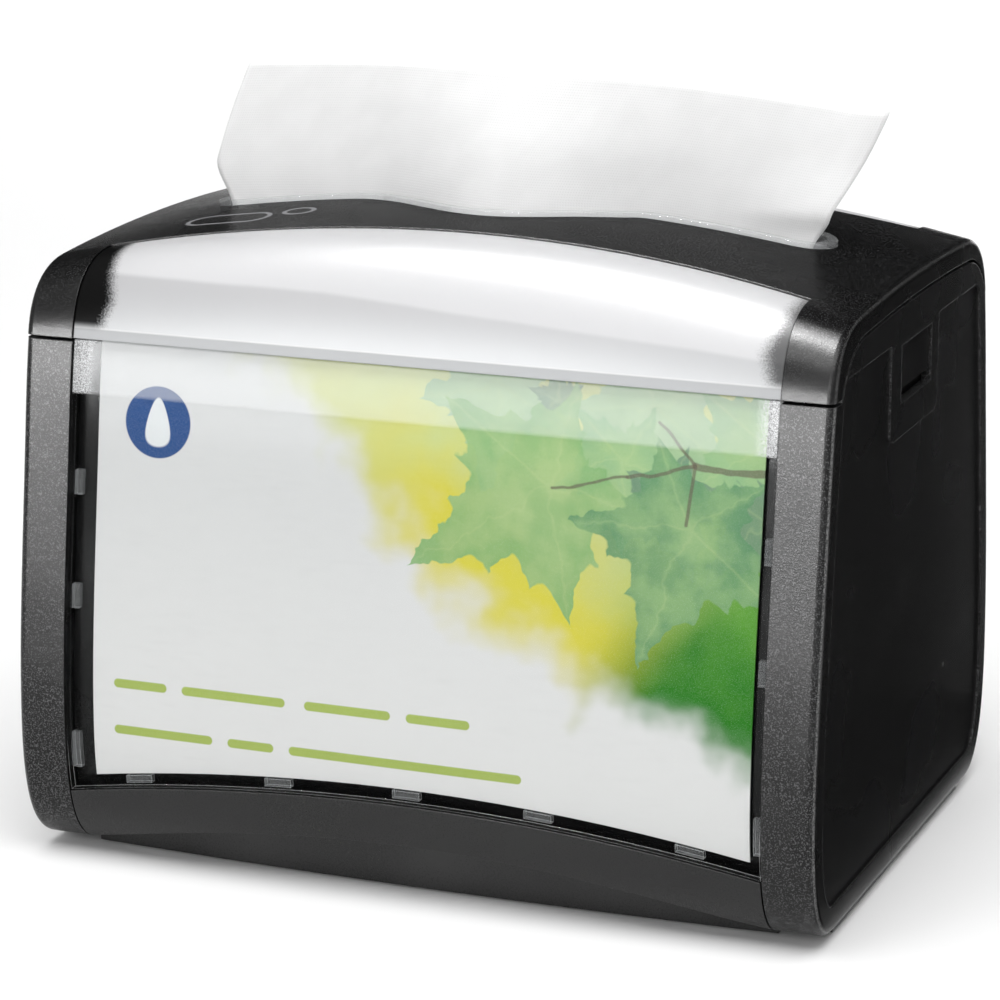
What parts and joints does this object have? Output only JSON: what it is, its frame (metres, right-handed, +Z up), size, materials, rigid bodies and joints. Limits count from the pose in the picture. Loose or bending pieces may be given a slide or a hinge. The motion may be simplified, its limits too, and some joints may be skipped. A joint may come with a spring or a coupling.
{
  "type": "napkin dispenser",
  "caption": "Tabletop napkin dispenser with a hinged crowned cover, wavy roof slot, clear windows over printed inserts and a spring-lifted stack.",
  "frame": {"origin": "middle of the footprint, on the surface that the feet stand on", "axes": "+X to the right across the front window, +Y from the front to the rear hinge seam, +Z up"},
  "size_m": [0.201, 0.1504, 0.1887],
  "materials": {
    "black_grained": "matte",
    "black_satin": "satin",
    "black_inner": "satin",
    "clear_plastic": "gloss",
    "frosted_plastic": "satin",
    "printed_card": "satin",
    "tissue": "matte",
    "steel": "satin",
    "foot_rubber": "matte"
  },
  "bodies": {
    "housing": {"base_plate": "black_satin", "rubber_feet": "foot_rubber", "base_screws": "steel", "hinge_pins": "steel", "lift_springs": "steel", "side_shell_right": "black_grained", "side_shell_left": "black_grained", "magazine_wall_right": "black_inner", "magazine_wall_left": "black_inner", "magazine_wall_front": "black_inner", "magazine_wall_rear": "black_inner", "button_guide_right": "black_inner", "button_guide_left": "black_inner", "button_spring_right": "steel", "button_spring_left": "steel", "rail_front": "black_satin", "rail_rear": "black_satin", "window_front": "clear_plastic", "window_rear": "clear_plastic", "insert_front": "printed_card", "insert_rear": "printed_card", "backing_panel_front": "black_inner", "backing_panel_rear": "black_inner", "window_clips_front": "clear_plastic", "window_clips_rear": "clear_plastic"},
    "cover": {"cover_shell": "black_grained", "cover_window_front": "frosted_plastic", "cover_window_rear": "frosted_plastic", "slot_rim": "clear_plastic"},
    "lift": {"lift_plate": "black_inner", "napkin_stack": "tissue"},
    "button_right": {"button_right": "black_satin"},
    "button_left": {"button_left": "black_satin"},
    "napkin": {"feed_napkin": "tissue"}
  },
  "joints": [
    {"name": "cover_hinge", "type": "hinge", "parent": "housing", "child": "cover", "pos_m": [0, 0.0662, 0.1283], "axis": [-1, 0, 0], "range_deg": [0, 100]},
    {"name": "lift_slide", "type": "slide", "parent": "housing", "child": "lift", "axis": [0, 0, 1], "range_m": [-0.03, 0], "stiffness_N_per_m": 500, "springref_m": 0.06, "deforming": ["lift_springs"]},
    {"name": "button_right_press", "type": "slide", "parent": "housing", "child": "button_right", "axis": [-1, 0, 0], "range_m": [0, 0.003], "stiffness_N_per_m": 400, "springref_m": -0.003, "deforming": ["button_spring_right"]},
    {"name": "button_left_press", "type": "slide", "parent": "housing", "child": "button_left", "axis": [1, 0, 0], "range_m": [0, 0.003], "stiffness_N_per_m": 400, "springref_m": -0.003, "deforming": ["button_spring_left"]},
    {"name": "napkin_pull", "type": "slide", "parent": "cover", "child": "napkin", "axis": [0, 0, 1], "range_m": [0, 0.03]}
  ]
}
